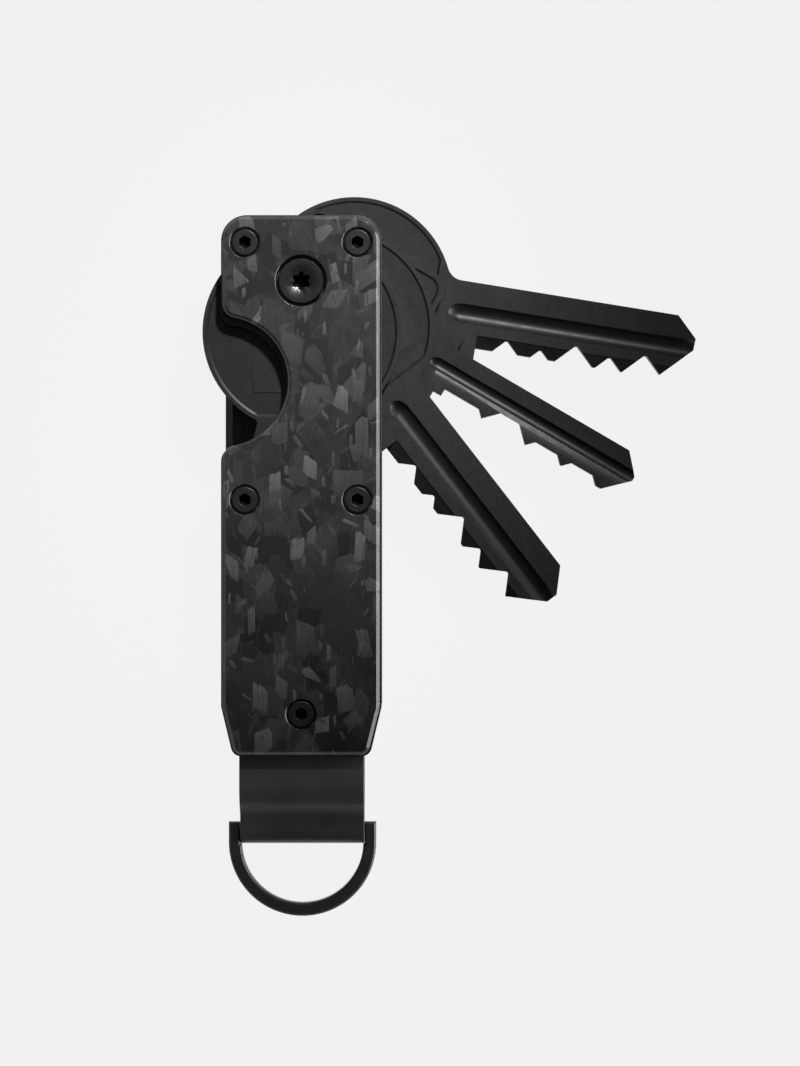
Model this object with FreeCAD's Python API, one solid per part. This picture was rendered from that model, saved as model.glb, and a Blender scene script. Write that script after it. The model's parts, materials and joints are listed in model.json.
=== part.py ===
import FreeCAD, Part
import math
import os

# Key organiser, in millimetres. It lies flat on its back cover: X across the case, Y along
# it with the pivot end up, Z through its thickness. The origin is on the back cover's outer
# face, under the pivot axis. Keys are drawn folded, pointing along -Y, then turned open.

V = FreeCAD.Vector

# ---- driving dimensions: the stack of plates ----
COVER_THICK = 1.5
CHASSIS_THICK = 1.2
KEY_THICK = 2.0
KEY_PLAY = 0.025
WASHER_THICK = 0.36
KEY_COUNT = 4

KEY_SLOT = KEY_THICK + 2 * KEY_PLAY
BACK_IN = COVER_THICK + CHASSIS_THICK
GAP = KEY_COUNT * KEY_SLOT + (KEY_COUNT + 1) * WASHER_THICK
FRONT_IN = BACK_IN + GAP
FRONT_MID = FRONT_IN + CHASSIS_THICK
TOP = FRONT_MID + COVER_THICK
MID = TOP / 2

# ---- case outline ----
COVER_HALF = 10.2
CASE_TOP = 8.4
TAPER_START = -55.3
CASE_END = -61.5
END_HALF = 8.65
TOP_CORNER = 3.1
TAPER_CORNER = 1.1
LOW_CORNER = 1.35
CHASSIS_PROUD = 0.25
COVER_CHAMFER = 0.45
CHASSIS_HALF = COVER_HALF + CHASSIS_PROUD

# ---- thumb notch in the left edge of the front half ----
NOTCH_X = -10.1
COVER_NOTCH = {"y": -13.05, "radius": 8.4}
CHASSIS_NOTCH = {"y": -13.6, "radius": 8.0}
NOTCH_ROUND = 1.9

# ---- side wall and pocket of the back chassis ----
WALL_THICK = 1.0
WALL_TOP = -24.5
WALL_END = -53.0
POCKET_DEPTH = 0.3
POCKET_TOP = -12.0
POCKET_END = -52.4
EDGE_SLOPE_WIDE = 0.95
EDGE_SLOPE_HIGH = 0.8
EDGE_SLOPE_TOP = -11.0

# ---- small screws: four on each side, and one at the bottom ----
SCREW_SPOTS = [(-7.3, 5.0), (7.3, 5.0), (-7.3, -28.4), (7.3, -28.4)]
BOTTOM_SPOT = (0.0, -56.2)
HEAD_R = 1.75
HEAD_HIGH = 0.8
HEAD_SUNK = 0.2
SINK_R = 1.93
SINK_MOUTH = 0.12
SINK_DEEP = HEAD_HIGH + HEAD_SUNK
HEAD_CHAMFER = 0.15
SHANK_R = 1.0
SHANK_HOLE_R = 1.1
TAPPED_R = 1.02
SOCKET_ACROSS = 1.5
SOCKET_DEEP = 1.3
SLOT_HALF = 0.25
SLOT_DEEP = 0.45
NUT_SLEEVE_R = 1.5
NUT_HOLE_R = 1.55
NUT_END = 7.5

# ---- pivot ----
POST_R = 2.0
POST_HOLE_R = 2.05
POST_SEAT_R = 2.03
PIVOT_HEAD_R = 2.95
PIVOT_SINK_R = 3.3
PIVOT_SHANK_R = 1.5
POST_BORE_R = 1.52
PIVOT_SUNK = 0.3
DISH_DEEP = 0.4
DISH_RIM = 0.5
DISH_EDGE = 0.12
LOBE_REACH = 1.25
LOBE_R = 0.34
PIVOT_SLOT_HALF = 0.35
PIVOT_SLOT_DEEP = 0.6
SPRING_HIGH = 0.3
WASHER_R = 4.0

# ---- keys: u runs from the pivot along the blade, v across it, plus on the back edge ----
BOW_R = 12.95
BOW_RIM = 0.5
FIELD_DEPTH = 0.17
FIELD_SLOPE = 0.28
FIELD_CHORD = 17.5
LAND_R = 4.2
PANEL_HALF = 6.33
PANEL_FROM = 1.6
PANEL_TO = 7.9
PANEL_RISE = 0.1
BACK_EDGE = 4.15
TOOTH_EDGE = -4.45
SHOULDER_U = 23.8
SHOULDER_V = -6.6
SHOULDER_BACK_U = 21.4
SHANK_U = 10.0
NECK_V = -5.1
NECK_END_U = 16.0
NECK_BACK_ROUND = 2.2
NECK_TOOTH_ROUND = 0.7
TIP_U = 52.7
TIP_BACK_RUN = 2.75
TIP_TOOTH_RUN = 4.35
TIP_NOSE = (1.4, -0.1)
CUT_FIRST = 28.0
CUT_PITCH = 4.62
CUT_DEPTHS = [1.55, 1.05, 2.35, 1.55, 2.55]
CUT_ROOT = 0.3
GROOVE_START = 19.5
NOSE_STRETCH = 1.5
WIDE_GROOVE = {"half": 1.3, "depth": 0.8}
SLIM_GROOVE = {"half": 0.87, "depth": 0.6}
GROOVE_V = {"front": -0.15, "back": 1.5}
SLIM_GROOVE_V = {"front": -0.02, "back": 0.6}
LIP_DEPTH = 0.25
LIP_END_V = -1.45
TOOTH_SLOPE_V = -2.75
TOOTH_SLOPE_STEP = 0.12
TOOTH_SLOPE = 18.0
NARROW_BOW = {"half": 10.2, "back": -5.3, "end": 16.7, "back_round": 4.1, "end_round": 2.5}
NARROW_BORDER = 0.7
NARROW_NECK_HALF = 5.1
NARROW_NECK_ROUND = 1.2
NARROW_SHOULDER = 21.9
NARROW_BACK_EDGE = 2.87
NARROW_TOOTH_EDGE = -3.4
NARROW_TIP = [(48.2, 2.87, 0.2), (50.6, 0.2, 0.3), (50.6, -0.4, 0.3), (47.5, -3.4, 0)]
NARROW_STOP = {"from": 23.1, "to": 27.0, "end": 28.0, "v": -2.4}
NARROW_CUTS = [(26.0, 28.3, -2.4), (31.1, 33.9, -1.4), (37.0, 40.3, -2.4), (42.5, 45.7, -2.4)]
RING_HOLE = {"u": -2.03, "v": 7.97, "radius": 1.55, "collar": 2.0, "step": 0.02}
OPEN_ANGLES = {"key_front": 0.0, "key_second": 37.76, "key_third": 59.76, "key_fourth": 80.86}
BOW_CENTRES = {"key_front": 6.45, "key_second": 7.04, "key_fourth": 6.85}
BLADE_SHIFTS = {"key_front": 0.0, "key_second": 0.0, "key_fourth": -0.2}

# ---- strap and ring ----
STRAP_HALF = 8.15
SHEET = 0.95
LEG_TOP = -53.3
BEND_START = -65.8
BAR_Y = -71.7
BAR_R = 0.85
ROLL_IN = 0.92
ROLL_OUT = ROLL_IN + SHEET
RING_HALF = 9.7
RING_WIDE = 1.7
RING_THICK = 2.0
RING_ARC_Y = -73.4
EAR_RISE = 0.95
EAR_RELIEF = 8.18
EAR_RELIEF_END = -73.62
SPIGOT_R = 0.55
RING_CHAMFER = 0.25


# ---------------------------------------------------------------- helpers

def disc(radius, z_from, z_to, x=0.0, y=0.0):
    """Upright cylinder between two heights."""
    return Part.makeCylinder(radius, z_to - z_from, V(x, y, z_from))


def ring(outer, inner, z_from, z_to, x=0.0, y=0.0):
    return disc(outer, z_from, z_to, x, y).cut(disc(inner, z_from - 1, z_to + 1, x, y))


def block(x_from, x_to, y_from, y_to, z_from, z_to):
    corner = V(x_from, y_from, z_from)
    return Part.makeBox(x_to - x_from, y_to - y_from, z_to - z_from, corner)


def round_wire(corners, place=lambda a, b: V(a, b, 0)):
    """Closed outline through (a, b, radius) corners, each rounded by an arc if radius > 0."""
    ends = []
    for i, (a, b, radius) in enumerate(corners):
        here = V(a, b, 0)
        before = V(*corners[i - 1][:2], 0) - here
        after = V(*corners[(i + 1) % len(corners)][:2], 0) - here
        before.normalize()
        after.normalize()
        if radius <= 0:
            ends.append((here, None, here))
            continue
        half = before.getAngle(after) / 2
        reach = radius / math.tan(half)
        bisector = before + after
        bisector.normalize()
        middle = here + bisector * (radius / math.sin(half) - radius)
        ends.append((here + before * reach, middle, here + after * reach))
    edges = []
    for i, (start, middle, end) in enumerate(ends):
        if middle is not None:
            edges.append(Part.Arc(*[place(p.x, p.y) for p in (start, middle, end)]).toShape())
        following = ends[(i + 1) % len(ends)][0]
        if (following - end).Length > 1e-6:
            edges.append(Part.makeLine(place(end.x, end.y), place(following.x, following.y)))
    return Part.Wire(edges)


def prism(wire, z_from, z_to):
    face = Part.Face(wire)
    face.translate(V(0, 0, z_from))
    return face.extrude(V(0, 0, z_to - z_from))


def upright_edges(shape, spots, reach=1.0):
    """Vertical edges that stand within reach of any of the (x, y) spots."""
    found = []
    for edge in shape.Edges:
        box = edge.BoundBox
        if box.ZLength < 0.5 or box.XLength > 1e-4 or box.YLength > 1e-4:
            continue
        if any(math.hypot(box.XMin - x, box.YMin - y) < reach for x, y in spots):
            found.append(edge)
    return found


def rim_edges(shape, z, outer_only=True):
    """Edges of the flat face at height z, its outline only or with its holes."""
    edges = []
    for face in shape.Faces:
        box = face.BoundBox
        if box.ZLength > 1e-4 or abs(box.ZMin - z) > 1e-4:
            continue
        wires = [face.OuterWire] if outer_only else face.Wires
        for wire in wires:
            edges.extend(wire.Edges)
    return edges


def flip(shape):
    """Mirror a shape about the mid-plane, from the front half to the back half."""
    return shape.mirror(V(0, 0, MID), V(0, 0, 1))


def long_cut(section, y_from, y_to):
    """Straight cut along -Y from one distance to another, its section given as (x, z) points."""
    points = [V(x, -y_from, z) for x, z in section]
    face = Part.Face(Part.makePolygon(points + points[:1]))
    return face.extrude(V(0, y_from - y_to, 0))


def hexagon(across, z_from, z_to, x, y):
    radius = across / math.sqrt(3)
    corners = []
    for i in range(6):
        turn = math.radians(60 * i + 30)
        corners.append((x + radius * math.cos(turn), y + radius * math.sin(turn), 0))
    return prism(round_wire(corners), z_from, z_to)


def six_lobe(outer, lobe_r, z_from, z_to):
    """Six-lobe recess: a hub with a round lobe at every sixth of a turn."""
    recess = disc(outer * 0.74, z_from, z_to)
    for i in range(6):
        turn = math.radians(60 * i + 90)
        reach = outer - lobe_r
        recess = recess.fuse(
            disc(lobe_r, z_from, z_to, reach * math.cos(turn), reach * math.sin(turn)))
    return recess


def save(shape, node):
    """Check and write one node, which may be one solid or a group of separate solids."""
    solids = shape.Solids
    if not solids or not all(s.isValid() for s in solids):
        raise ValueError("bad shape: " + node)
    out = solids[0] if len(solids) == 1 else Part.makeCompound(solids)
    out.exportStep("parts/" + node + ".step")
    box = out.BoundBox
    print("%-20s %2d solid(s)  %8.2f mm3   x %7.2f %7.2f  y %7.2f %7.2f  z %6.2f %6.2f" % (
        node, len(solids), out.Volume, box.XMin, box.XMax, box.YMin, box.YMax, box.ZMin, box.ZMax))


# ---------------------------------------------------------------- case plates

def plate_wire(proud):
    """Case outline, grown outwards by proud."""
    half = COVER_HALF + proud
    low = END_HALF + proud
    return round_wire([
        (-half, CASE_TOP + proud, TOP_CORNER + proud),
        (half, CASE_TOP + proud, TOP_CORNER + proud),
        (half, TAPER_START, TAPER_CORNER),
        (low, CASE_END - proud, LOW_CORNER),
        (-low, CASE_END - proud, LOW_CORNER),
        (-half, TAPER_START, TAPER_CORNER),
    ])


def cut_notch(plate, notch, edge_x):
    """Thumb notch with its two corners rounded into the plate's edge."""
    plate = plate.cut(disc(notch["radius"], 0, TOP, NOTCH_X, notch["y"]))
    reach = math.sqrt(notch["radius"] ** 2 - (edge_x - NOTCH_X) ** 2)
    corners = [(edge_x, notch["y"] + reach), (edge_x, notch["y"] - reach)]
    return plate.makeFillet(NOTCH_ROUND, upright_edges(plate, corners))


def sink_mouth(radius, x=0.0, y=0.0):
    """Small bevel round the mouth of a sunk seat in the front cover."""
    return Part.makeCone(radius, radius + 2 * SINK_MOUTH, 2 * SINK_MOUTH, V(x, y, TOP - SINK_MOUTH))


def cover_holes(back):
    """What is cut from a cover in the front half: sunk screw seats and the pivot's opening."""
    cut = disc(PIVOT_SINK_R, FRONT_MID - 1, TOP + 1).fuse(sink_mouth(PIVOT_SINK_R))
    for x, y in SCREW_SPOTS + [BOTTOM_SPOT]:
        through = SHANK_HOLE_R
        if back and (x, y) == BOTTOM_SPOT:
            through = NUT_HOLE_R
        cut = cut.fuse(disc(through, FRONT_MID - 1, TOP, x, y))
        cut = cut.fuse(disc(SINK_R, TOP - SINK_DEEP, TOP + 1, x, y))
        cut = cut.fuse(sink_mouth(SINK_R, x, y))
    return cut


def cover(back):
    """Cover plate in the front half; the back one is the same, without the notch, flipped."""
    plate = prism(plate_wire(0), FRONT_MID, TOP)
    if not back:
        plate = cut_notch(plate, COVER_NOTCH, -COVER_HALF)
    plate = plate.makeChamfer(COVER_CHAMFER, rim_edges(plate, TOP))
    plate = plate.cut(cover_holes(back))
    return flip(plate) if back else plate


def chassis_holes(plate, z_from, z_to, post_r, bottom_r):
    plate = plate.cut(disc(post_r, z_from - 1, z_to + 1))
    for x, y in SCREW_SPOTS:
        plate = plate.cut(disc(TAPPED_R, z_from - 1, z_to + 1, x, y))
    return plate.cut(disc(bottom_r, z_from - 1, z_to + 1, *BOTTOM_SPOT))


def front_chassis():
    plate = prism(plate_wire(CHASSIS_PROUD), FRONT_IN, FRONT_MID)
    plate = cut_notch(plate, CHASSIS_NOTCH, -CHASSIS_HALF)
    return chassis_holes(plate, FRONT_IN, FRONT_MID, POST_SEAT_R, SHANK_HOLE_R)


def rear_chassis():
    """Back plate, with a shallow pocket and the wall that the folded keys close against."""
    inner = CHASSIS_HALF - WALL_THICK
    plate = prism(plate_wire(CHASSIS_PROUD), COVER_THICK, BACK_IN)
    pocket = block(-inner, inner, POCKET_END, POCKET_TOP, BACK_IN - POCKET_DEPTH, BACK_IN + 1)
    wall = block(-CHASSIS_HALF, -inner, WALL_END, WALL_TOP, BACK_IN - 0.5, FRONT_IN)
    wall = wall.makeFillet(WALL_THICK * 0.45, upright_edges(wall, [
        (-CHASSIS_HALF, WALL_TOP), (-inner, WALL_TOP), (-CHASSIS_HALF, WALL_END), (-inner, WALL_END)],
        0.1))
    slope = long_cut([
        (-CHASSIS_HALF, BACK_IN), (EDGE_SLOPE_WIDE - CHASSIS_HALF, BACK_IN),
        (-CHASSIS_HALF, BACK_IN - EDGE_SLOPE_HIGH)], -EDGE_SLOPE_TOP, -WALL_TOP)
    plate = plate.cut(pocket).cut(slope).fuse(wall).removeSplitter()
    return chassis_holes(plate, COVER_THICK, BACK_IN, POST_SEAT_R, NUT_HOLE_R)


# ---------------------------------------------------------------- fasteners and pivot

def small_screw(x, y, shank_end):
    """Hex-socket cap screw of the front half, its head sunk in the cover."""
    head_top = TOP - HEAD_SUNK
    head_low = head_top - HEAD_HIGH
    head = disc(HEAD_R, head_low, head_top, x, y)
    head = head.makeChamfer(HEAD_CHAMFER, rim_edges(head, head_top))
    screw = head.fuse(disc(SHANK_R, shank_end, head_low, x, y))
    return screw.cut(hexagon(SOCKET_ACROSS, head_top - SOCKET_DEEP, head_top + 1, x, y))


def cover_screws(back):
    screws = [small_screw(x, y, FRONT_IN + 0.1) for x, y in SCREW_SPOTS]
    if back:
        screws = [flip(screw) for screw in screws]
    return Part.makeCompound(screws)


def bottom_screw():
    return small_screw(*BOTTOM_SPOT, BACK_IN + 1.5)


def bottom_barrel_nut():
    """Sleeve nut from the back, with a slotted head."""
    x, y = BOTTOM_SPOT
    head = disc(HEAD_R, HEAD_SUNK, SINK_DEEP, x, y)
    head = head.makeChamfer(HEAD_CHAMFER, rim_edges(head, HEAD_SUNK))
    nut = head.fuse(disc(NUT_SLEEVE_R, SINK_DEEP, NUT_END, x, y))
    nut = nut.cut(disc(TAPPED_R, BACK_IN + 1.0, NUT_END + 1, x, y))
    slot = block(x - HEAD_R, x + HEAD_R, y - SLOT_HALF, y + SLOT_HALF, 0, HEAD_SUNK + SLOT_DEEP)
    return nut.cut(slot)


def pivot_head_profile():
    """Half section of the dished head, from its axis outwards."""
    top = TOP - PIVOT_SUNK
    low = FRONT_MID + SPRING_HIGH
    points = [
        V(0, 0, low), V(PIVOT_HEAD_R, 0, low), V(PIVOT_HEAD_R, 0, top - DISH_EDGE),
        V(PIVOT_HEAD_R - DISH_EDGE, 0, top), V(PIVOT_HEAD_R - DISH_RIM, 0, top),
        V(0, 0, top - DISH_DEEP),
    ]
    return Part.Face(Part.makePolygon(points + points[:1]))


def pivot_screw():
    head = pivot_head_profile().revolve(V(0, 0, 0), V(0, 0, 1), 360)
    shank = disc(PIVOT_SHANK_R, BACK_IN + 3, FRONT_MID + SPRING_HIGH)
    return head.fuse(shank).cut(six_lobe(LOBE_REACH, LOBE_R, FRONT_IN + 0.3, TOP))


def pivot_post():
    """Sleeve nut that the keys turn on; its slotted head is sunk in the back cover."""
    head = disc(PIVOT_HEAD_R, PIVOT_SUNK, COVER_THICK)
    head = head.makeChamfer(HEAD_CHAMFER, rim_edges(head, PIVOT_SUNK))
    post = head.fuse(disc(POST_R, COVER_THICK, FRONT_MID - 0.3))
    post = post.cut(disc(POST_BORE_R, BACK_IN + 2.5, FRONT_MID))
    slot = block(-PIVOT_HEAD_R, PIVOT_HEAD_R, -PIVOT_SLOT_HALF, PIVOT_SLOT_HALF, 0,
                 PIVOT_SUNK + PIVOT_SLOT_DEEP)
    return post.cut(slot)


def tension_washer():
    """Conical spring washer between the pivot screw's head and the front chassis."""
    low = FRONT_MID
    inner = PIVOT_SHANK_R + 0.1
    outer = PIVOT_HEAD_R
    rise = SPRING_HIGH - 0.2
    points = [V(inner, 0, low + rise), V(outer, 0, low), V(outer, 0, low + 0.2),
              V(inner, 0, low + SPRING_HIGH)]
    face = Part.Face(Part.makePolygon(points + points[:1]))
    return face.revolve(V(0, 0, 0), V(0, 0, 1), 360)


# ---------------------------------------------------------------- keys

def key_point(u, v):
    """Key coordinates to the folded key's place: the blade runs along -Y."""
    return V(v, -u, 0)


def key_disc(radius, z_from, z_to, u=0.0, v=0.0):
    return disc(radius, z_from, z_to, v, -u)


def key_prism(corners, z_from, z_to):
    return prism(round_wire(corners, key_point), z_from, z_to)


def groove(z_face, side, v, start, size):
    """Round-bottomed groove along the blade, with a long rounded nose towards the bow."""
    depth = size["depth"]
    radius = (size["half"] ** 2 + depth ** 2) / (2 * depth)
    full = V(v, -start - size["half"] * NOSE_STRETCH, z_face + side * (radius - depth))
    nose = Part.Ellipse(V(0, radius * NOSE_STRETCH, 0), V(radius, 0, 0), V(0, 0, 0))
    tip = V(0, radius * NOSE_STRETCH, 0)
    outline = [Part.ArcOfEllipse(nose, 0, math.pi / 2).toShape(),
               Part.makeLine(V(radius, 0, 0), V(radius, -TIP_U, 0)),
               Part.makeLine(V(radius, -TIP_U, 0), V(0, -TIP_U, 0)),
               Part.makeLine(V(0, -TIP_U, 0), tip)]
    face = Part.Face(Part.Wire(outline))
    return face.revolve(V(0, 0, 0), V(0, 1, 0), 360).translated(full)


def sunk_field(outline, depth):
    """Recess with sloping sides, cut down from height 0, round an untouched land at the pivot.

    outline(inset) gives the recess's outline, drawn in by inset.
    """
    top = outline(0)
    floor = outline(FIELD_SLOPE)
    floor.translate(V(0, 0, -depth))
    recess = Part.makeLoft([floor, top], True, True)
    return recess.cut(key_disc(LAND_R, -depth - 1, 1))


def cut_both_faces(key, recess, low, high):
    """Cut a recess, drawn below height 0, into the key's front face and its back face."""
    turned = recess.mirror(V(0, 0, 0), V(0, 0, 1))
    return key.cut(recess.translated(V(0, 0, high))).cut(turned.translated(V(0, 0, low)))


def round_field_outline(centre):
    """Outline of a round bow's recess: a circle cut off by a chord on the blade's side."""
    def outline(inset):
        radius = BOW_R - BOW_RIM - inset
        chord = FIELD_CHORD - inset
        half = math.sqrt(radius ** 2 - (chord - centre) ** 2)
        arc = Part.Arc(key_point(chord, half), key_point(centre - radius, 0),
                       key_point(chord, -half))
        closing = Part.makeLine(key_point(chord, -half), key_point(chord, half))
        return Part.Wire([arc.toShape(), closing])
    return outline


def tooth_cuts(low, high, shift):
    """V cuts with a narrow flat root, at an even pitch along the tooth edge."""
    deepest = TOOTH_EDGE - 2.0
    cutters = []
    for i, depth in enumerate(CUT_DEPTHS):
        u = CUT_FIRST + shift + i * CUT_PITCH
        root = TOOTH_EDGE + depth
        spread = CUT_ROOT / 2 + root - deepest
        cutters.append(key_prism([
            (u - spread, deepest, 0), (u - CUT_ROOT / 2, root, 0),
            (u + CUT_ROOT / 2, root, 0), (u + spread, deepest, 0)], low - 1, high + 1))
    return cutters


def round_key(node, low):
    """Key with a round bow: rim, sunk field, stamped panel, neck, shoulder and cut blade."""
    high = low + KEY_THICK
    centre = BOW_CENTRES[node]
    shift = BLADE_SHIFTS[node]
    tip = TIP_U + shift
    shank = key_prism([
        (SHANK_U, BACK_EDGE, 0), (tip - TIP_BACK_RUN, BACK_EDGE, 0.2), (tip, TIP_NOSE[0], 0.2),
        (tip, TIP_NOSE[1], 0.2), (tip - TIP_TOOTH_RUN, TOOTH_EDGE, 0),
        (SHOULDER_U, TOOTH_EDGE, 0), (SHOULDER_U, SHOULDER_V, 0.3),
        (SHOULDER_BACK_U, SHOULDER_V, 0.6), (NECK_END_U, NECK_V, 0),
        (SHANK_U, NECK_V, 0)], low, high)
    key = key_disc(BOW_R, low, high, centre).fuse(shank).removeSplitter()
    back_neck = (BACK_EDGE, -centre - math.sqrt(BOW_R ** 2 - BACK_EDGE ** 2))
    tooth_v = (NECK_V + SHOULDER_V) / 2
    tooth_neck = (tooth_v, -centre - math.sqrt(BOW_R ** 2 - tooth_v ** 2))
    key = key.makeFillet(NECK_BACK_ROUND, upright_edges(key, [back_neck]))
    key = key.makeFillet(NECK_TOOTH_ROUND, upright_edges(key, [tooth_neck]))
    for cutter in tooth_cuts(low, high, shift):
        key = key.cut(cutter)
    panel = key_prism([
        (centre + PANEL_FROM, PANEL_HALF, 0.2), (centre + PANEL_TO, PANEL_HALF, 0.2),
        (centre + PANEL_TO, -PANEL_HALF, 0.2), (centre + PANEL_FROM, -PANEL_HALF, 0.2)],
        -FIELD_DEPTH - 1, -FIELD_DEPTH + PANEL_RISE)
    field = sunk_field(round_field_outline(centre), FIELD_DEPTH).cut(panel)
    key = cut_both_faces(key, field, low, high)
    slope_top = high - TOOTH_SLOPE_STEP
    slope_end = TOOTH_EDGE - 1
    fall = (TOOTH_SLOPE_V - slope_end) * math.tan(math.radians(TOOTH_SLOPE))
    key = key.cut(long_cut([
        (TOOTH_SLOPE_V, high + 1), (TOOTH_SLOPE_V, slope_top), (slope_end, slope_top - fall),
        (slope_end, high + 1)], SHOULDER_U, TIP_U + 1))
    key = key.cut(groove(high, 1, GROOVE_V["front"], GROOVE_START, WIDE_GROOVE))
    key = key.cut(groove(low, -1, GROOVE_V["back"], GROOVE_START, SLIM_GROOVE))
    return key.cut(key_disc(POST_HOLE_R, low - 1, high + 1))


def narrow_field(inset):
    """Outline of the narrow key's sunk field, drawn in by an inset."""
    edge = NARROW_BORDER + inset
    back = NARROW_BOW["back"] + edge
    end = NARROW_BOW["end"] - edge
    half = NARROW_BOW["half"] - edge
    back_round = NARROW_BOW["back_round"] - edge
    end_round = NARROW_BOW["end_round"] - edge
    return round_wire([
        (back, half, back_round), (end, half, end_round),
        (end, -half, end_round), (back, -half, back_round)], key_point)


def narrow_key(low):
    """Slimmer key with a squarer bow and flat-bottomed cuts."""
    high = low + KEY_THICK
    half = NARROW_BOW["half"]
    back = NARROW_BOW["back"]
    end = NARROW_BOW["end"]
    back_round = NARROW_BOW["back_round"]
    end_round = NARROW_BOW["end_round"]
    neck = NARROW_NECK_HALF
    shoulder = NARROW_SHOULDER
    back_edge = NARROW_BACK_EDGE
    tooth_edge = NARROW_TOOTH_EDGE
    stop = NARROW_STOP
    bow = key_prism([
        (back, half, back_round), (end, half, end_round),
        (end, -half, end_round), (back, -half, back_round)], low, high)
    shank = key_prism([
        (SHANK_U, neck, 0), (shoulder, neck, 0.3), (shoulder, back_edge, 0.3), *NARROW_TIP,
        (stop["end"], tooth_edge, 0), (stop["to"], stop["v"], 0), (stop["from"], stop["v"], 0.1),
        (stop["from"], tooth_edge, 0.1), (shoulder, tooth_edge, 0.1), (shoulder, -neck, 0.3),
        (SHANK_U, -neck, 0)], low, high)
    key = bow.fuse(shank).removeSplitter()
    inner_corners = upright_edges(key, [(neck, -end), (-neck, -end)])
    key = key.makeFillet(NARROW_NECK_ROUND, inner_corners)
    for start, stop_u, root in NARROW_CUTS:
        spread = root - tooth_edge + 1
        key = key.cut(key_prism([
            (start - spread, tooth_edge - 1, 0), (start, root, 0), (stop_u, root, 0),
            (stop_u + spread, tooth_edge - 1, 0)], low - 1, high + 1))
    key = cut_both_faces(key, sunk_field(narrow_field, FIELD_DEPTH), low, high)
    key = key.cut(groove(high, 1, SLIM_GROOVE_V["front"], GROOVE_START, SLIM_GROOVE))
    lip_start_v = SLIM_GROOVE_V["front"] - SLIM_GROOVE["half"] + 0.1
    key = key.cut(long_cut([
        (lip_start_v, high + 0.1), (lip_start_v, high - LIP_DEPTH), (LIP_END_V, high)],
        GROOVE_START + SLIM_GROOVE["half"] * NOSE_STRETCH, TIP_U))
    key = key.cut(groove(low, -1, SLIM_GROOVE_V["back"], GROOVE_START, SLIM_GROOVE))
    return key.cut(key_disc(POST_HOLE_R, low - 1, high + 1))


def add_ring_hole(key, low):
    """Small collared hole in a corner of the narrow key's bow."""
    u = RING_HOLE["u"]
    v = RING_HOLE["v"]
    base = low + RING_HOLE["step"]
    top = low + KEY_THICK - RING_HOLE["step"]
    key = key.fuse(key_disc(RING_HOLE["collar"], base, top, u, v))
    return key.cut(key_disc(RING_HOLE["radius"], base - 1, top + 1, u, v)).removeSplitter()


def key_low(level):
    """Underside of the key at a level, counted from the back."""
    return BACK_IN + WASHER_THICK + KEY_PLAY + level * (KEY_SLOT + WASHER_THICK)


def keys():
    shapes = {
        "key_fourth": round_key("key_fourth", key_low(0)),
        "key_third": add_ring_hole(narrow_key(key_low(1)), key_low(1)),
        "key_second": round_key("key_second", key_low(2)),
        "key_front": round_key("key_front", key_low(3)),
    }
    for node, shape in shapes.items():
        shape.rotate(V(0, 0, 0), V(0, 0, 1), OPEN_ANGLES[node])
    return shapes


def key_washer(index):
    low = BACK_IN + index * (KEY_SLOT + WASHER_THICK)
    return ring(WASHER_R, POST_HOLE_R, low, low + WASHER_THICK)


# ---------------------------------------------------------------- strap, block and ring

def arc_to(start, centre, angle):
    """Arc from start round centre by angle, in the plane of Y and Z."""
    def turned(by):
        turn = math.radians(by)
        reach = start - centre
        y = reach.y * math.cos(turn) - reach.z * math.sin(turn)
        z = reach.y * math.sin(turn) + reach.z * math.cos(turn)
        return centre + V(0, y, z)
    end = turned(angle)
    return Part.Arc(start, turned(angle / 2), end).toShape(), end


def strap_side(inset):
    """Half of the strap's section, from its leg's end to the roll's far side."""
    top = FRONT_IN - inset
    run = BEND_START - BAR_Y
    drop = FRONT_IN - (MID + ROLL_OUT)
    lean = 2 * math.atan2(drop, run)
    bend = run / (2 * math.sin(lean))
    leg = V(0, LEG_TOP, top)
    first = V(0, BEND_START, top)
    edges = [Part.makeLine(leg, first)]
    arc, knee = arc_to(first, V(0, BEND_START, FRONT_IN - bend), math.degrees(lean))
    edges.append(arc)
    arc, crest = arc_to(knee, V(0, BAR_Y, MID + ROLL_OUT + bend), -math.degrees(lean))
    edges.append(arc)
    arc, _ = arc_to(crest, V(0, BAR_Y, MID), 90)
    edges.append(arc)
    return edges


def strap():
    """Folded strap: two legs in the case, an S bend on each and a roll round the bar."""
    caps = [Part.makeLine(V(0, LEG_TOP, FRONT_IN), V(0, LEG_TOP, FRONT_IN - SHEET)),
            Part.makeLine(V(0, BAR_Y - ROLL_OUT, MID), V(0, BAR_Y - ROLL_IN, MID))]
    section = Part.Wire(Part.__sortEdges__(strap_side(0) + strap_side(SHEET) + caps))
    front = Part.Face(section).extrude(V(2 * STRAP_HALF, 0, 0)).translated(V(-STRAP_HALF, 0, 0))
    sheet = front.fuse(flip(front)).removeSplitter()
    x, y = BOTTOM_SPOT
    sheet = sheet.cut(disc(SHANK_HOLE_R, MID, TOP, x, y))
    return sheet.cut(disc(NUT_HOLE_R, 0, MID, x, y))


def end_block():
    """Spacer between the strap's legs, clamped by the bottom screw."""
    body = block(-STRAP_HALF, STRAP_HALF, CASE_END + 0.2, LEG_TOP, BACK_IN + SHEET,
                 FRONT_IN - SHEET)
    x, y = BOTTOM_SPOT
    body = body.cut(disc(NUT_HOLE_R, 0, NUT_END + 0.5, x, y))
    return body.cut(disc(SHANK_HOLE_R, NUT_END, TOP, x, y))


def d_outline(half, top):
    """D shape: two straight legs and a half-round end."""
    left = V(-half, RING_ARC_Y, 0)
    right = V(half, RING_ARC_Y, 0)
    low = V(0, RING_ARC_Y - half, 0)
    return Part.Wire([
        Part.makeLine(V(-half, top, 0), left), Part.Arc(left, low, right).toShape(),
        Part.makeLine(right, V(half, top, 0)), Part.makeLine(V(half, top, 0), V(-half, top, 0))])


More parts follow.
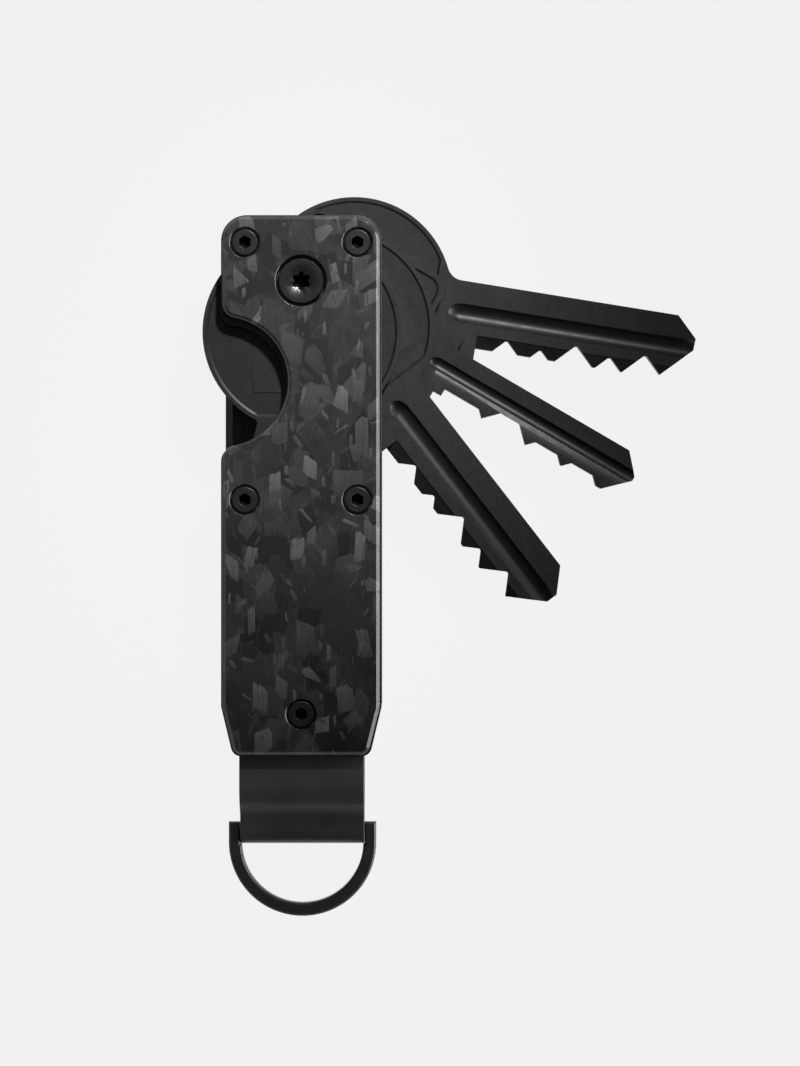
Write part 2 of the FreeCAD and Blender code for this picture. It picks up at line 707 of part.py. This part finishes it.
def d_ring():
    """Open D with square ears, drilled for the bar's ends."""
    low = MID - RING_THICK / 2
    high = MID + RING_THICK / 2
    top = BAR_Y + EAR_RISE
    body = prism(d_outline(RING_HALF, top), low, high)
    body = body.cut(prism(d_outline(RING_HALF - RING_WIDE, top + 1), low - 1, high + 1))
    body = body.cut(block(-EAR_RELIEF, EAR_RELIEF, EAR_RELIEF_END, top + 1, low - 1, high + 1))
    body = body.makeChamfer(RING_CHAMFER, rim_edges(body, high) + rim_edges(body, low))
    bore = Part.makeCylinder(SPIGOT_R, 2 * RING_HALF, V(-RING_HALF, BAR_Y, MID), V(1, 0, 0))
    return body.cut(bore)


def ring_bar():
    """Straight bar with thinner ends, held in the ears of the ring."""
    reach = EAR_RELIEF - 0.02
    bar = Part.makeCylinder(BAR_R, 2 * reach, V(-reach, BAR_Y, MID), V(1, 0, 0))
    ends = Part.makeCylinder(SPIGOT_R, 2 * RING_HALF, V(-RING_HALF, BAR_Y, MID), V(1, 0, 0))
    return bar.fuse(ends)


# ---------------------------------------------------------------- build

def build():
    os.makedirs("parts", exist_ok=True)
    nodes = {
        "front_cover": cover(back=False),
        "front_chassis": front_chassis(),
        "rear_chassis": rear_chassis(),
        "rear_cover": cover(back=True),
        "front_cover_screws": cover_screws(back=False),
        "rear_cover_screws": cover_screws(back=True),
        "bottom_screw": bottom_screw(),
        "bottom_barrel_nut": bottom_barrel_nut(),
        "pivot_screw": pivot_screw(),
        "pivot_post": pivot_post(),
        "tension_washer": tension_washer(),
        "end_block": end_block(),
        "strap": strap(),
        "d_ring": d_ring(),
        "ring_bar": ring_bar(),
    }
    for index in range(KEY_COUNT + 1):
        nodes["key_washer_%d" % (index + 1)] = key_washer(index)
    nodes.update(keys())
    for node, shape in nodes.items():
        save(shape, node)


build()
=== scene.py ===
import json
import math

import bpy
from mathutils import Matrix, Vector


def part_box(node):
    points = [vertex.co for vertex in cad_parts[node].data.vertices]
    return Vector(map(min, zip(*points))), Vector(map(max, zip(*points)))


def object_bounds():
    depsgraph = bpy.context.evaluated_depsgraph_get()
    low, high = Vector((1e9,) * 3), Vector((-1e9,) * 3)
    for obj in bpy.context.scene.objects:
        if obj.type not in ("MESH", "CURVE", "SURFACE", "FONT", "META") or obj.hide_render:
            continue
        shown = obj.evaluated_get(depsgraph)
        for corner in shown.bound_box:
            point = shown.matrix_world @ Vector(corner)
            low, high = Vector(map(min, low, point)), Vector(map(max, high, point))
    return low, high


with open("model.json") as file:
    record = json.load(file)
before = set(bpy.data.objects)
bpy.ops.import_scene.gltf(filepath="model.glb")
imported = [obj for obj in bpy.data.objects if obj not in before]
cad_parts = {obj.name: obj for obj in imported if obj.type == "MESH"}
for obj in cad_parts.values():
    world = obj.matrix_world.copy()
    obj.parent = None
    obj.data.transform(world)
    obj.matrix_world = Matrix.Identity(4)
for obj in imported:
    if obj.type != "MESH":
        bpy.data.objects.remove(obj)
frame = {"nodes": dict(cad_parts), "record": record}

# Key organiser. The CAD nodes keep their shapes: this script softens their edges, gives each
# one its material, and adds the light, floor and camera. Everything is in metres.

MM = 0.001
BACK_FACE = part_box("rear_cover")[0].z
FRONT_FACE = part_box("front_cover")[1].z
MIDDLE = (BACK_FACE + FRONT_FACE) / 2
# Distances from the case's middle: the tops of the small screws' heads lie a little beyond the
# first, and the floor of the pivot screw's dish a little beyond the second. Nearer to the middle
# than these, the screws' sockets are painted black as shade.
HEAD_FACE = FRONT_FACE - MIDDLE - 0.4 * MM
DISH_FLOOR = FRONT_FACE - MIDDLE - 0.75 * MM
cad_low, cad_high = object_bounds()
NODES = frame["nodes"]


# ---------------------------------------------------------------- node helpers

class Graph:
    """A material's node tree, with short calls for the nodes that the materials share."""

    def __init__(self, name):
        self.material = bpy.data.materials.new(name)
        self.material.use_nodes = True
        self.tree = self.material.node_tree
        self.tree.nodes.clear()
        self.out = self.add("ShaderNodeOutputMaterial")
        self.place = self.add("ShaderNodeTexCoord").outputs["Object"]

    def add(self, kind, **settings):
        node = self.tree.nodes.new(kind)
        for key, value in settings.items():
            setattr(node, key, value)
        return node

    def feed(self, socket, value):
        """Link another node's output to the socket, or set the socket to a plain value."""
        if isinstance(value, bpy.types.NodeSocket):
            self.tree.links.new(value, socket)
        else:
            socket.default_value = value

    def math(self, operation, a, b=0.0, clamp=False):
        node = self.add("ShaderNodeMath", operation=operation, use_clamp=clamp)
        self.feed(node.inputs[0], a)
        self.feed(node.inputs[1], b)
        return node.outputs[0]

    def vector(self, operation, a, b):
        node = self.add("ShaderNodeVectorMath", operation=operation)
        self.feed(node.inputs[0], a)
        self.feed(node.inputs[1], b)
        return node.outputs[0]

    def scaled(self, vector, scale, turn=(0.0, 0.0, 0.0), shift=(0.0, 0.0, 0.0)):
        node = self.add("ShaderNodeMapping")
        self.feed(node.inputs["Vector"], vector)
        self.feed(node.inputs["Scale"], scale)
        self.feed(node.inputs["Rotation"], turn)
        self.feed(node.inputs["Location"], shift)
        return node.outputs[0]

    def spun(self, vector, angle):
        """The vector turned about Z."""
        node = self.add("ShaderNodeVectorRotate", rotation_type="Z_AXIS")
        self.feed(node.inputs["Vector"], vector)
        self.feed(node.inputs["Angle"], angle)
        return node.outputs[0]

    def noise(self, vector, scale, detail, roughness):
        node = self.add("ShaderNodeTexNoise")
        self.feed(node.inputs["Vector"], vector)
        self.feed(node.inputs["Scale"], scale)
        self.feed(node.inputs["Detail"], detail)
        self.feed(node.inputs["Roughness"], roughness)
        return node.outputs[0]

    def cells(self, vector, scale):
        """Nearest point of a scattered grid: its random colour and its position."""
        node = self.add("ShaderNodeTexVoronoi")
        self.feed(node.inputs["Vector"], vector)
        self.feed(node.inputs["Scale"], scale)
        return node.outputs["Color"], node.outputs["Position"]

    def ramp(self, value, stops):
        """Colour ramp from (position, grey or colour) stops."""
        node = self.add("ShaderNodeValToRGB")
        elements = node.color_ramp.elements
        while len(elements) < len(stops):
            elements.new(0.5)
        for element, (position, shade) in zip(elements, stops):
            element.position = position
            rgb = (shade, shade, shade) if isinstance(shade, float) else shade
            element.color = (*rgb, 1.0)
        self.feed(node.inputs[0], value)
        return node.outputs[0]

    def span(self, value, low, high, to_low, to_high):
        """The value carried from one range to another, and held inside it."""
        node = self.add("ShaderNodeMapRange")
        for socket, number in zip(node.inputs, (value, low, high, to_low, to_high)):
            self.feed(socket, number)
        return node.outputs[0]

    def mix(self, factor, a, b):
        """Mix of two colours."""
        node = self.add("ShaderNodeMix", data_type="RGBA")
        self.feed(node.inputs[0], factor)
        self.feed(node.inputs[6], a)
        self.feed(node.inputs[7], b)
        return node.outputs[2]

    def blend(self, factor, a, b):
        """Mix of two numbers."""
        node = self.add("ShaderNodeMix", data_type="FLOAT")
        self.feed(node.inputs[0], factor)
        self.feed(node.inputs[2], a)
        self.feed(node.inputs[3], b)
        return node.outputs[0]

    def hashed(self, vector):
        """A random colour for each value of the vector."""
        node = self.add("ShaderNodeTexWhiteNoise")
        self.feed(node.inputs["Vector"], vector)
        return node.outputs["Color"]

    def axes(self, vector):
        node = self.add("ShaderNodeSeparateXYZ")
        self.feed(node.inputs[0], vector)
        return node.outputs

    def channels(self, colour):
        node = self.add("ShaderNodeSeparateColor")
        self.feed(node.inputs[0], colour)
        return node.outputs

    def bump(self, height, strength, distance):
        node = self.add("ShaderNodeBump")
        self.feed(node.inputs["Height"], height)
        self.feed(node.inputs["Strength"], strength)
        self.feed(node.inputs["Distance"], distance)
        return node.outputs[0]

    def surface(self, **values):
        """Principled shader; names use _ for a space, such as Base_Color."""
        node = self.add("ShaderNodeBsdfPrincipled")
        for key, value in values.items():
            self.feed(node.inputs[key.replace("_", " ")], value)
        self.tree.links.new(node.outputs[0], self.out.inputs[0])
        return self.material


def grey(value):
    return (value, value, value, 1.0)


# ---------------------------------------------------------------- forged carbon

# Cut chips of carbon fibre, from the lowest layer to the top one. Each chip's brightness is
# painted sheen, for the light that its fibres catch at their angle. Sizes are in millimetres:
# pitch of the layer, half width and half length of its largest chip, share of places that hold a
# chip, painted sheen of the darkest and brightest chip, and how opaque the layer is.
CHIP_LAYERS = [
    {"pitch": 7.0, "half": (3.6, 4.2), "share": 0.9, "painted_sheen": (0.06, 0.4), "cover": 0.85},
    {"pitch": 4.6, "half": (2.0, 2.8), "share": 0.8, "painted_sheen": (0.06, 0.6), "cover": 0.8},
    {"pitch": 4.0, "half": (1.15, 2.0), "share": 0.66, "painted_sheen": (0.25, 1.0), "cover": 0.85},
    {"pitch": 2.4, "half": (0.3, 1.1), "share": 0.5, "painted_sheen": (0.3, 0.9), "cover": 0.7},
    {"pitch": 1.5, "half": (0.12, 0.7), "share": 0.4, "painted_sheen": (0.2, 0.8), "cover": 0.55},
]
LAYER_TURN = 0.45                   # radians from each layer's grid to the next one's
LAYER_SHIFT = 0.037                 # and how far it moves, so that no two grids line up
NARROWEST = 0.35                    # smallest chip, as a share of the largest
SHORTEST = 0.5
MOST_LEAN = 1.3                     # radians from the case's length, for the few that lean most
MOST_SLANT = 0.8                    # slope of a chip's cut ends
RAGGED = 1.2 * MM                   # how far single fibres stand out past the cut
FIBRE_SCALE = (6000.0, 260.0, 1.0)  # noise cells in a metre: fine across a chip, long along it
SEED_REACH = (0.2, 0.2, 0.2)        # moves each chip's fibres, so that no two are alike
CARBON_SHADES = [
    (0.0, (0.008, 0.008, 0.008)), (0.25, (0.030, 0.0305, 0.0315)),
    (0.5, (0.062, 0.063, 0.062)), (1.0, (0.14, 0.14, 0.137)),
]


def chip_layer(g, flat, layer, index):
    """One layer of cut chips: how much of it covers the surface, and how bright its painted sheen
    is.
    """
    turn = LAYER_TURN * index
    shift = LAYER_SHIFT * (index + 1)
    place = g.scaled(flat, (1.0, 1.0, 1.0), (0, 0, turn), (shift, 1.7 * shift, 0))
    colour, centre = g.cells(place, 1 / (layer["pitch"] * MM))
    picks = g.channels(colour)
    more = g.channels(g.hashed(colour))
    # Most chips lie nearly along the case: the cube keeps most of the leans small.
    side = g.math("POWER", g.span(picks[0], 0, 1, -1.0, 1.0), 3.0)
    lean = g.math("SUBTRACT", g.math("MULTIPLY", side, MOST_LEAN), turn)
    local = g.spun(g.vector("SUBTRACT", place, centre), lean)
    across, along, _ = g.axes(local)
    seed = g.vector("ADD", local, g.vector("MULTIPLY", colour, SEED_REACH))
    fibres = g.noise(g.scaled(seed, FIBRE_SCALE), 1.0, 3.0, 0.65)
    wide, long = (half * MM for half in layer["half"])
    half_width = g.span(picks[1], 0, 1, NARROWEST * wide, wide)
    cut = g.math("MULTIPLY", g.math("SUBTRACT", fibres, 0.5), RAGGED)
    half_length = g.math("ADD", g.span(picks[2], 0, 1, SHORTEST * long, long), cut)
    slope = g.span(more[2], 0, 1, -MOST_SLANT, MOST_SLANT)
    slanted = g.math("ADD", along, g.math("MULTIPLY", across, slope))
    inside_width = g.math("LESS_THAN", g.math("ABSOLUTE", across), half_width)
    inside_length = g.math("LESS_THAN", g.math("ABSOLUTE", slanted), half_length)
    held = g.math("LESS_THAN", more[0], layer["share"])
    mask = g.math("MULTIPLY", g.math("MULTIPLY", inside_width, inside_length), held)
    # Painted sheen: each chip's brightness, brighter towards one end and streaked along its
    # fibres.
    tone = g.span(g.math("POWER", more[1], 1.5), 0, 1, *layer["painted_sheen"])
    fade = g.span(along, -long, long, 0.75, 1.2)
    streaks = g.span(fibres, 0.3, 0.7, 0.75, 1.2)
    painted_sheen = g.math("MULTIPLY", g.math("MULTIPLY", tone, fade), streaks)
    return g.math("MULTIPLY", mask, layer["cover"]), painted_sheen


def forged_carbon():
    """Chopped carbon fibre in resin: overlapping cut chips, each with fibres at its own angle and
    its sheen painted into the colour.
    """
    g = Graph("forged_carbon")
    flat = g.vector("MULTIPLY", g.place, (1.0, 1.0, 0.0))
    # A mottled ground tone, with each layer's chips and their painted sheen laid over it.
    mottle_and_sheen = g.span(g.noise(flat, 230.0, 6.0, 0.68), 0.3, 0.7, 0.08, 0.42)
    for index, layer in enumerate(CHIP_LAYERS):
        mask, painted_sheen = chip_layer(g, flat, layer, index)
        mottle_and_sheen = g.blend(mask, mottle_and_sheen, painted_sheen)
    pits = g.noise(flat, 7000.0, 2.0, 0.6)
    relief = g.math("ADD", g.math("MULTIPLY", mottle_and_sheen, 0.5), g.math("MULTIPLY", pits, 0.1))
    return g.surface(Base_Color=g.ramp(mottle_and_sheen, CARBON_SHADES),
                     Roughness=g.span(mottle_and_sheen, 0.0, 1.0, 0.25, 0.21),
                     Normal=g.bump(relief, 0.3, 0.05 * MM))


# ---------------------------------------------------------------- metal and floor

def lathe_rings(g):
    """Height of the fine rings that turning leaves round the node's own axis."""
    x, y, _ = g.axes(g.place)
    radius = g.math("SQRT", g.math("ADD", g.math("MULTIPLY", x, x), g.math("MULTIPLY", y, y)))
    rings = g.add("ShaderNodeCombineXYZ")
    g.feed(rings.inputs[0], radius)
    return g.noise(rings.outputs[0], 9000.0, 3.0, 0.7)


def coated_metal(name, shade, rough, grain, grain_height, wear=0.0, turned=False, painted_shade_reach=0.0):
    """Black coating: fine grain, slow shade variation and, if asked, wear on the edges.

    A turned one has lathe rings in place of the grain's relief. If a socket distance is given,
    everything nearer than that to the case's middle plane is a socket: it is made fully rough,
    and its colour is painted near black as shade.
    """
    g = Graph(name)
    slow = g.noise(g.place, 120.0, 3.0, 0.55)
    fine = g.noise(g.place, grain, 3.0, 0.6)
    tone = g.math("ADD", g.math("MULTIPLY", slow, 0.6), g.math("MULTIPLY", fine, 0.4))
    colour = g.ramp(tone, [(0.3, shade * 0.75), (0.7, shade * 1.3)])
    height = lathe_rings(g) if turned else fine
    if wear > 0.0:
        ridge = g.add("ShaderNodeNewGeometry").outputs["Pointiness"]
        edge = g.span(ridge, 0.52, 0.6, 0.0, 1.0)
        rubbed = g.math("MULTIPLY", edge, g.span(fine, 0.35, 0.65, 0.2, 1.0), clamp=True)
        colour = g.mix(g.math("MULTIPLY", rubbed, wear), colour, grey(shade * 5))
    gloss = g.noise(g.place, 900.0, 3.0, 0.6)
    roughness = g.span(gloss, 0.3, 0.7, rough - 0.04, rough + 0.05)
    # Painted shade: inside the sockets the colour is set near black, as shadow, and the roughness
    # is set to full.
    if painted_shade_reach > 0.0:
        from_middle = g.math("ABSOLUTE", g.math("SUBTRACT", g.axes(g.place)[2], MIDDLE))
        open_part = g.span(from_middle, painted_shade_reach - 0.05 * MM, painted_shade_reach, 0.0, 1.0)
        colour = g.mix(open_part, grey(0.001), colour)
        roughness = g.blend(open_part, 1.0, roughness)
    return g.surface(Base_Color=colour, Roughness=roughness,
                     Normal=g.bump(height, 0.3, grain_height * MM))


def floor_material():
    """Pale ground that glows a little, so that it stays almost without shadows."""
    g = Graph("studio_floor")
    tone = g.noise(g.place, 3.0, 2.0, 0.5)
    colour = g.ramp(tone, [(0.3, 0.865), (0.7, 0.875)])
    return g.surface(Base_Color=grey(0.02), Roughness=1.0, Specular_IOR_Level=0.0,
                     Emission_Color=colour, Emission_Strength=1.0)


# Name, shade, roughness, grain scale and grain height in millimetres.
MATERIALS = {
    "forged_carbon": forged_carbon(),
    "black_metal": coated_metal("black_metal", 0.012, 0.4, 2600.0, 0.01),
    "black_steel": coated_metal("black_steel", 0.012, 0.33, 3200.0, 0.006, wear=0.25,
                                painted_shade_reach=HEAD_FACE),
    # Painted light: the strap's and the ring's shades are far lighter than the other black parts,
    # to make up for the light that falls short at the case's lower end.
    "strap_black": coated_metal("strap_black", 0.075, 0.4, 5200.0, 0.008),
    "ring_black": coated_metal("ring_black", 0.05, 0.4, 2600.0, 0.008, wear=0.2),
    "washer": coated_metal("washer", 0.014, 0.5, 2000.0, 0.01),
    "key_black": coated_metal("key_black", 0.0085, 0.43, 3800.0, 0.006, wear=0.3),
}
PIVOT_STEEL = coated_metal("pivot_steel", 0.012, 0.28, 3200.0, 0.01, turned=True,
                           painted_shade_reach=DISH_FLOOR)


# ---------------------------------------------------------------- pieces

EDGE_WIDTH = 0.1 * MM
EDGE_WIDTHS = {"front_cover": 0.08 * MM, "rear_cover": 0.08 * MM, "strap": 0.12 * MM}


def soften_edges(obj, width):
    """Round a part's sharp edges a little, so that they catch the light as real ones do."""
    weld = obj.modifiers.new("weld", "WELD")
    weld.merge_threshold = 0.002 * MM
    flat = obj.modifiers.new("flat", "DECIMATE")
    flat.decimate_type = "DISSOLVE"
    flat.angle_limit = math.radians(0.5)
    bevel = obj.modifiers.new("edges", "BEVEL")
    bevel.width = width
    bevel.segments = 2
    bevel.limit_method = "ANGLE"
    bevel.angle_limit = math.radians(28)
    even = obj.modifiers.new("even", "WEIGHTED_NORMAL")
    even.mode = "FACE_AREA"
    even.weight = 50
    for face in obj.data.polygons:
        face.use_smooth = True


def dress_nodes():
    """Give each CAD node its slot's material and soft edges. The pivot screw has its own steel."""
    for part in frame["record"]["subparts"]:
        name = part["node"]
        material = PIVOT_STEEL if name == "pivot_screw" else MATERIALS[part["material_slot"]]
        node = NODES[name]
        node.data.materials.clear()
        node.data.materials.append(material)
        soften_edges(node, EDGE_WIDTHS.get(name, EDGE_WIDTH))


# ---------------------------------------------------------------- floor, light and camera

FLOOR_REACH = 3.0
FLOOR_GAP = 0.2 * MM
ROOM_LIGHT = 0.02
BACKDROP = 0.87

# The camera looks straight down from above a point beside the pivot, which centres the frame
# on the case and its open keys.
VIEW_RIGHT = 12.83 * MM
VIEW_DOWN = 32.7 * MM
VIEW_HEIGHT = 440 * MM              # above the front face
LENS = 114.6529                     # millimetres, for a frame whose longer side is 36


def add_floor():
    mesh = bpy.data.meshes.new("floor")
    reach = FLOOR_REACH
    corners = [(-reach, -reach, 0), (reach, -reach, 0), (reach, reach, 0), (-reach, reach, 0)]
    mesh.from_pydata(corners, [], [(0, 1, 2, 3)])
    floor = bpy.data.objects.new("floor", mesh)
    bpy.context.scene.collection.objects.link(floor)
    mesh.materials.append(floor_material())
    floor.location.z = cad_low[2] - FLOOR_GAP


def add_lamp(light, place, aim):
    lamp = bpy.data.objects.new(light.name, light)
    lamp.location = place
    lamp.rotation_euler = (Vector(aim) - Vector(place)).to_track_quat("-Z", "Y").to_euler()
    bpy.context.scene.collection.objects.link(lamp)


def add_panel(name, place, aim, size, brightness):
    """Soft rectangular light whose face has the given brightness, 1 being white."""
    light = bpy.data.lights.new(name, "AREA")
    light.shape = "RECTANGLE"
    light.size, light.size_y = size
    light.energy = brightness * math.pi * size[0] * size[1]
    add_lamp(light, place, aim)


def add_spot(name, place, aim, source_radius, lit_radius, brightness):
    """Soft-edged beam. Brightness is that of a white surface facing it at the beam's centre."""
    distance = (Vector(aim) - Vector(place)).length
    light = bpy.data.lights.new(name, "SPOT")
    light.energy = brightness * 4 * math.pi ** 2 * distance ** 2
    light.shadow_soft_size = source_radius
    light.spot_size = 2 * math.atan(lit_radius / distance)
    light.spot_blend = 1.0
    add_lamp(light, place, aim)


def add_world():
    """A faint even light from the room, and a pale backdrop that only low views show."""
    world = bpy.data.worlds.new("studio")
    world.use_nodes = True
    tree = world.node_tree
    room = tree.nodes["Background"]
    room.inputs["Color"].default_value = grey(1.0)
    room.inputs["Strength"].default_value = ROOM_LIGHT
    backdrop = tree.nodes.new("ShaderNodeBackground")
    backdrop.inputs["Color"].default_value = grey(BACKDROP)
    seen = tree.nodes.new("ShaderNodeLightPath")
    choice = tree.nodes.new("ShaderNodeMixShader")
    tree.links.new(seen.outputs["Is Camera Ray"], choice.inputs[0])
    tree.links.new(room.outputs[0], choice.inputs[1])
    tree.links.new(backdrop.outputs[0], choice.inputs[2])
    tree.links.new(choice.outputs[0], tree.nodes["World Output"].inputs[0])
    bpy.context.scene.world = world


def add_lights():
    """A beam from the upper side casts the shadows. The panels make what shines on flat faces,
    and on the edges and slopes that face right."""
    add_spot("beam", place=(0.122, 0.258, 0.36), aim=(0.0, -0.002, 0.014),
             source_radius=0.018, lit_radius=0.05, brightness=1.25)
    add_panel("overhead", place=(0.0, 0.108, 0.3), aim=(0.0, 0.108, 0.0),
              size=(0.092, 0.276), brightness=0.28)
    add_panel("upper_right", place=(0.243, 0.17, 0.268), aim=(0.01, -0.02, 0.01),
              size=(0.2, 0.2), brightness=0.7)
    add_panel("low_right", place=(0.4, -0.03, 0.08), aim=(0.01, -0.03, 0.01),
              size=(0.4, 0.13), brightness=9.5)


def add_camera():
    camera = bpy.data.cameras.new("camera")
    camera.sensor_width = 36.0
    camera.lens = LENS
    camera.clip_start = 0.01
    camera.clip_end = 20.0
    view = bpy.data.objects.new("camera", camera)
    low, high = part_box("pivot_screw")
    pivot = (low + high) / 2
    view.location = (pivot.x + VIEW_RIGHT, pivot.y - VIEW_DOWN, FRONT_FACE + VIEW_HEIGHT)
    bpy.context.scene.collection.objects.link(view)
    bpy.context.scene.camera = view


dress_nodes()
add_floor()
add_world()
add_lights()
add_camera()
bpy.context.scene.view_settings.view_transform = "Standard"
